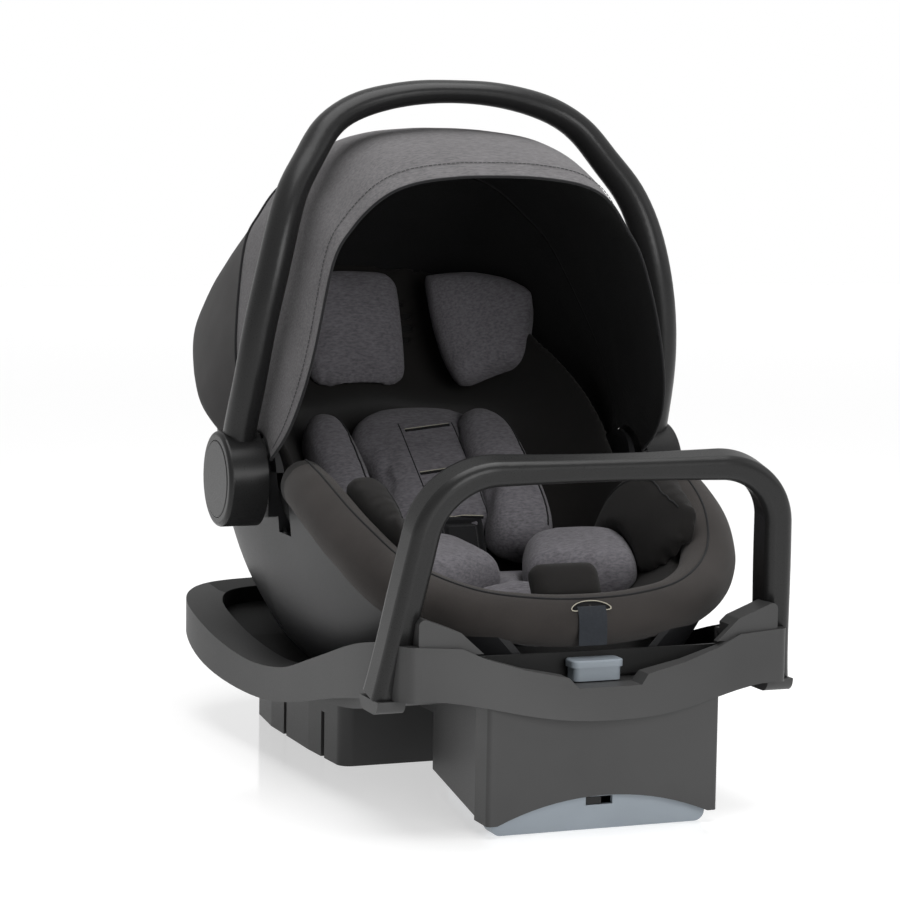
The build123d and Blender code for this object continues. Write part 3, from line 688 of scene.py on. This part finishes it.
def wing_form(sign):
    """A head wing's form over its outline, on the right (sign 1) or the left (sign -1)."""
    center, up, normal = (np.array(v, float) for v in WING_AT)
    normal /= np.linalg.norm(normal)
    up -= normal * up.dot(normal)
    up /= np.linalg.norm(up)
    across = np.cross(up, normal)
    outline = flow(WING + WING[:1], 90)[:-1]
    middle = outline.mean(axis=0)
    verts = []
    for h, k in WING_LAYERS:
        for u, v in middle + k * (outline - middle):
            p = center + across * u + up * v + normal * h * WING_T
            p[0] = min(p[0], hood_half(p[1], p[2]) - WING_CLEAR)
            verts.append((sign * p[0] / 1000, p[1] / 1000, p[2] / 1000))
    count = len(outline)
    faces = grid_faces(len(WING_LAYERS), count, wrap=True)
    faces += [tuple(range(count)), tuple(len(verts) - 1 - k for k in range(count))]
    return outward(new_object("wing_soft", verts, faces))


def outward(obj):
    """Turns all faces of a closed mesh outward."""
    work = bmesh.new()
    work.from_mesh(obj.data)
    bmesh.ops.recalc_face_normals(work, faces=work.faces)
    work.to_mesh(obj.data)
    work.free()
    return obj


def roll_tube():
    """The front roll: an oval tube round the seat's edge, fuller at the front corners, with rounded ends."""
    line = [(-x, y, z, out, low) for x, y, z, out, low in ROLL] + [(0, ROLL_Y, ROLL_Z, 0, 0)] + ROLL[::-1]
    line = flow(line, 200)
    tangent = np.gradient(line[:, :3], axis=0)
    tangent /= np.linalg.norm(tangent, axis=1, keepdims=True)
    around = np.linspace(0, 2 * math.pi, 36, endpoint=False)
    verts = []
    for i, (p, t) in enumerate(zip(line, tangent)):
        out = np.array((t[1], -t[0], 0.0))
        out /= np.linalg.norm(out)
        up = np.cross(t, out)
        up *= math.copysign(1.0, up[2])
        near_end = min(i, len(line) - 1 - i) / 5
        taper = math.sqrt(max(0.0, 1 - (1 - min(near_end, 1.0)) ** 2)) * 0.97 + 0.03
        for a in around:
            c, d = math.cos(a), math.sin(a)
            wide = ROLL_R + (p[3] if c > 0 else 0)
            high = ROLL_H + (p[4] if d < 0 else 0)
            fold = 0.5 * noise.noise(Vector((p[0] * 0.02, p[1] * 0.05, a * 1.2)))
            verts.append((p[:3] + (out * c * wide + up * d * high) * taper * (1 + 0.03 * fold)) / 1000)
    faces = grid_faces(len(line), len(around), wrap=True)
    count = len(around)
    faces += [tuple(range(count)), tuple(len(verts) - 1 - k for k in range(count))]
    return outward(new_object("front_roll_soft", verts, faces))


class CARSEAT_OT_plastics(bpy.types.Operator):
    """Gives the moulded and steel pieces their materials"""
    bl_idname = "carseat.plastics"
    bl_label = "Plastics"

    def execute(self, context):
        keys = {
            "base": ("base_rim", "base_body", "base_plate", "bar_socket_left", "bar_socket_right"),
            "bar": ("bar_front_cover", "bar_rear_cover"),
            "accent": ("release_button", "recline_foot"),
            "buckle": ("foot_latch", "buckle"),
            "press": ("buckle_button",),
            "shell": ("carrier_shell",),
            "handle": ("handle", "handle_button_left", "handle_button_right"),
            "steel": ("bar_tube", "latch_shaft", "latch_bar", "pivot_pin_left", "pivot_pin_right",
                      "canopy_front_bow", "canopy_mid_bow"),
            "foam": ("foam_liner",),
        }
        for key, names in keys.items():
            for name in names:
                NODES[name].data.materials.clear()
                NODES[name].data.materials.append(material(key))
        # Faces of the sunken tub deck take the darker deck material: painted shade on the same base moulding
        rim = NODES["base_rim"].data
        rim.materials.append(material("deck"))
        for face in rim.polygons:
            x, y, z = face.center
            if abs(x) < SHADE_DECK_W and y > SHADE_DECK_Y and face.normal.z > -0.5 and z < SHADE_DECK_Z:
                face.material_index = 1
        return {"FINISHED"}


class CARSEAT_OT_canopy(bpy.types.Operator):
    """Builds the canopy's fabric, its lining, hem and seams"""
    bl_idname = "carseat.canopy"
    bl_label = "Canopy"

    def execute(self, context):
        front, area = hood_sheet("canopy_front_cloth", np.linspace(SEAM_ANGLE, EDGE_ANGLE, 70), CLOTH_COLS,
                                 CLOTH_RIPPLE, material("canopy"), material("lining"))
        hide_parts("canopy_front", "canopy_front_bow")
        first, last = fold_span()
        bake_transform(front)
        rear, area = hood_sheet("canopy_rear_cloth", np.linspace(SKIRT_ANGLE, SEAM_ANGLE, 60), CLOTH_COLS,
                                CLOTH_RIPPLE, material("canopy_dark"), material("lining"))
        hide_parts("canopy_rear", "canopy_mid_bow")
        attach(rear, "carrier")
        hem = stitches("canopy_hem_stitches", [hood_row(109.2, -0.1, 300)[6:-6]])
        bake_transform(hem)
        edge = piping("canopy_edge_binding", [hood_row(113.4, 1.2, 200)], "binding", 0.0013)
        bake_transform(edge)
        seam = piping("canopy_seam_piping", [hood_row(SEAM_ANGLE, 0.0, 200)[6:-6]], "binding", 0.0014)
        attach(seam, "carrier")
        return {"FINISHED"}


class CARSEAT_OT_cover(bpy.types.Operator):
    """Builds the black cover, its front roll and side bolsters"""
    bl_idname = "carseat.cover"
    bl_label = "Cover"

    def execute(self, context):
        cushion("seat_cover", "cover", cap=0.001, voxel=0.004, smooth=3, fine=False)
        roll = finish_cushion(roll_tube(), "front_roll", "roll", cap=0.002)
        roll.data.materials.append(material("cover"))
        for face in roll.data.polygons:
            if face.center.x < 0 and face.center.y > ROLL_END_Y:
                face.material_index = 1
        forward, above = ROLL_SEAM
        side = [(x, y + forward, z + above) for x, y, z, out, low in ROLL]
        seam = [(-x, y, z) for x, y, z in side] + [(0, ROLL_Y + forward, ROLL_Z + above)] + side[::-1]
        sew(piping("roll_seam", [traced(roll, seam, 240)], "binding", 0.0011))
        for side, sign in (("left", -1), ("right", 1)):
            bolster = cushion("side_bolster_" + side, "cover")
            seam = [(sign * x, y, z) for x, y, z in SIDE_SEAM]
            sew(piping("side_seam_" + side, [traced(bolster, seam, 60)], "binding", 0.0009))
        cushion("crotch_pad", "cover", voxel=0.003, cap=0.003)
        return {"FINISHED"}


def gather(panel):
    """Small pleats along the head panel's lower edge."""
    co = points(panel)
    low, high = co[:, 2].min(), co[:, 2].max()
    near = np.exp(-((co[:, 2] - low) / (0.14 * (high - low))) ** 2)
    pleat = np.sin(co[:, 0] * 2 * math.pi / 0.0085 + 2.0 * np.sin(co[:, 0] * 90))
    co[:, 1] -= 0.0011 * near * pleat
    set_points(panel, co)


class CARSEAT_OT_padding(bpy.types.Operator):
    """Builds the heather padding: head panel, wings, body insert and bolsters"""
    bl_idname = "carseat.padding"
    bl_label = "Padding"

    def execute(self, context):
        gather(cushion("head_panel", "heather", voxel=0.003))
        insert = cushion("body_insert", "heather")
        slots = []
        for s, half in INSERT_SLOTS:
            across = (-half, -half / 2, 0, half / 2, half)
            slots.append([back_point(u, s + 0.15 * u * (s > 0), INSERT_FACE) for u in across])
        # Near-black cords just inside each slot's pale edge: painted shade in the harness slot openings
        dark = [traced(insert, [p + np.array((0, -1.2, -1.6)) for p in line], 24, 0.0004) for line in slots]
        sew(piping("slot_mouth_shade", dark, "lining", 0.0014))
        pale = [traced(insert, line, 24, 0.0006) for line in slots]
        sew(piping("slot_edges", pale, "pale", 0.0006))
        folds = []
        for u in (-FOLD_X, FOLD_X):
            folds.append(traced(insert, [back_point(u, s, INSERT_FACE) for s in FOLD_RISE], 50, -0.0002))
        sew(piping("insert_folds", folds, "binding", 0.0007))
        cushion("seat_pad", "heather", cap=0.003)
        for side in ("left", "right"):
            cushion("wing_" + side, "heather", form=wing_form(1 if side == "right" else -1), cap=0.004)
            for part in ("bolster_", "hip_"):
                made = cushion(part + side, "heather")
                if part == "bolster_":
                    u = BOLSTER_SEAM_X[side]
                    line = [back_point(u, s, BOLSTER_SEAM_H) for s in BOLSTER_SEAM_RISE]
                    seam = traced(made, line, 80, 0.0003)
                    sew(piping("bolster_seam_" + side, [seam], "binding", 0.0009))
        return {"FINISHED"}


class CARSEAT_OT_straps(bpy.types.Operator):
    """Builds the harness webbing and the adjuster strap"""
    bl_idname = "carseat.straps"
    bl_label = "Straps"

    def execute(self, context):
        web = copy_of("harness_webbing", "harness_weave")
        web.data.materials.append(material("binding"))
        sew(web)
        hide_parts("harness_webbing")
        strap = self.adjuster()
        strap.data.materials.append(material("webbing"))
        sew(strap)
        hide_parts("adjuster_strap")
        rim = self.slot()
        # A near-black disc over the slot's outline: painted shade in the opening that the strap comes out of
        mouth = new_object("adjuster_slot", [sum(rim, Vector()) / len(rim)] + rim,
                           [(0, 1 + k, 1 + (k + 1) % len(rim)) for k in range(len(rim))], material("lining"))
        sew(mouth)
        edge = [p + Vector((0, -0.0006, 0.0006)) for p in rim + rim[:1]]
        sew(along("adjuster_slot_stitches", [edge], stitch_group(), material("pale"), Spacing=0.0015,
                  Length=0.0022, Radius=0.0004))
        return {"FINISHED"}

    def slot(self):
        """Points round the flat oval slot in the roll that the strap comes out of, in metres."""
        roll = bpy.data.objects["front_roll_soft"]
        forward, above = SLOT_AT
        ring = []
        for a in np.linspace(0, 2 * math.pi, 48, endpoint=False):
            rise = 4.5 * math.sin(a) - 3.0 * math.cos(a) ** 2
            ring.append((SLOT_HALF * math.cos(a), ROLL_Y + forward + 0.5 * rise, ROLL_Z + above + 0.8 * rise))
        bpy.context.view_layer.update()
        found = [roll.closest_point_on_mesh(Vector(p) / 1000)[1:3] for p in ring]
        return [place + normal * 0.0004 for place, normal in found]

    def adjuster(self):
        """The adjuster strap as a ribbon from its slot down over the roll."""
        bend = np.linspace(0.9, 1.5, 14)
        line = [(ROLL_Y - (ROLL_R + 1) * math.sin(a), ROLL_Z + (ROLL_H + 1) * math.cos(a)) for a in bend]
        low = points(NODES["adjuster_strap"])[:, 2].min() * 1000
        line += [(ROLL_Y - ROLL_R - 1.2, z) for z in np.linspace(ROLL_Z - 3, low, 12)]
        corners = ((-STRAP_HALF, 0), (STRAP_HALF, 0), (STRAP_HALF, STRAP_T), (-STRAP_HALF, STRAP_T))
        verts = []
        for y, z in line:
            for x, out in corners:
                verts.append((x / 1000, (y - out) / 1000, z / 1000))
        faces = grid_faces(len(line), 4, wrap=True)
        faces += [(0, 1, 2, 3), tuple(len(verts) - 1 - k for k in range(4))]
        return new_object("adjuster_weave", verts, faces, smooth=False)


class CARSEAT_OT_stage(bpy.types.Operator):
    """Sets the floor, the lights and the camera"""
    bl_idname = "carseat.stage"
    bl_label = "Stage"

    def execute(self, context):
        scene = context.scene
        floor = new_object("floor", [(-6, -6, 0), (6, -6, 0), (6, 8, 0), (-6, 8, 0)], [(0, 1, 2, 3)])
        n = Nodes("floor_white")
        n.set(Base_Color=(0.8, 0.8, 0.8, 1), Roughness=0.1, Specular_IOR_Level=0.5,
              Emission_Color=(1, 1, 1, 1), Emission_Strength=0.55)
        floor.data.materials.append(n.mat)
        world = bpy.data.worlds.new("studio")
        scene.world = world
        world.use_nodes = True
        tree = world.node_tree
        back = tree.nodes["Background"]
        back.inputs["Color"].default_value = (1, 1, 1, 1)
        path = tree.nodes.new("ShaderNodeLightPath")
        level = tree.nodes.new("ShaderNodeMapRange")
        level.inputs["To Min"].default_value = 0.09
        level.inputs["To Max"].default_value = 1.0
        seen = tree.nodes.new("ShaderNodeMath")
        seen.operation = "MULTIPLY_ADD"
        tree.links.new(path.outputs["Is Glossy Ray"], seen.inputs[0])
        seen.inputs[1].default_value = 0.6
        tree.links.new(path.outputs["Is Camera Ray"], seen.inputs[2])
        tree.links.new(seen.outputs[0], level.inputs["Value"])
        tree.links.new(level.outputs["Result"], back.inputs["Strength"])
        lamps = (
            ("top", (0.0, -0.15, 2.3), 2.0, settings().key_light * 2.4),
            ("front", (0.15, -2.45, 0.85), 1.2, settings().key_light * 1.3),
            ("side", (2.0, -0.9, 1.3), 1.5, settings().fill_light),
        )
        for name, place, size, power in lamps:
            data = bpy.data.lights.new(name, "AREA")
            data.size = size
            data.energy = power
            lamp = bpy.data.objects.new(name, data)
            lamp.location = place
            lamp.rotation_euler = (Vector(LOOK_AT) - Vector(place)).to_track_quat("-Z", "Y").to_euler()
            scene.collection.objects.link(lamp)
        data = bpy.data.cameras.new("camera")
        data.sensor_width = SENSOR_WIDTH
        data.lens = CAMERA_LENS
        camera = bpy.data.objects.new("camera", data)
        turn = Matrix((CAMERA_RIGHT, CAMERA_UP, CAMERA_BACK)).transposed()
        camera.matrix_world = Matrix.Translation(CAMERA_PLACE) @ turn.to_4x4()
        scene.collection.objects.link(camera)
        scene.camera = camera
        scene.view_settings.view_transform = "Standard"
        return {"FINISHED"}


class CARSEAT_PT_panel(bpy.types.Panel):
    bl_idname = "CARSEAT_PT_panel"
    bl_label = "Infant car seat"
    bl_space_type = "VIEW_3D"
    bl_region_type = "UI"
    bl_category = "Car seat"

    def draw(self, context):
        s = context.scene.car_seat
        for name in CarSeatSettings.__annotations__:
            self.layout.prop(s, name)
        for name in STEPS:
            self.layout.operator("carseat." + name)


CLASSES = (
    CarSeatSettings,
    CARSEAT_OT_plastics,
    CARSEAT_OT_canopy,
    CARSEAT_OT_cover,
    CARSEAT_OT_padding,
    CARSEAT_OT_straps,
    CARSEAT_OT_stage,
    CARSEAT_PT_panel,
)


def register():
    for cls in CLASSES:
        bpy.utils.register_class(cls)
    bpy.types.Scene.car_seat = PointerProperty(type=CarSeatSettings)


def unregister():
    del bpy.types.Scene.car_seat
    for cls in reversed(CLASSES):
        bpy.utils.unregister_class(cls)


def main():
    register()
    for step in STEPS:
        getattr(bpy.ops.carseat, step)()
    bpy.context.view_layer.update()


if __name__ == "__main__":
    main()
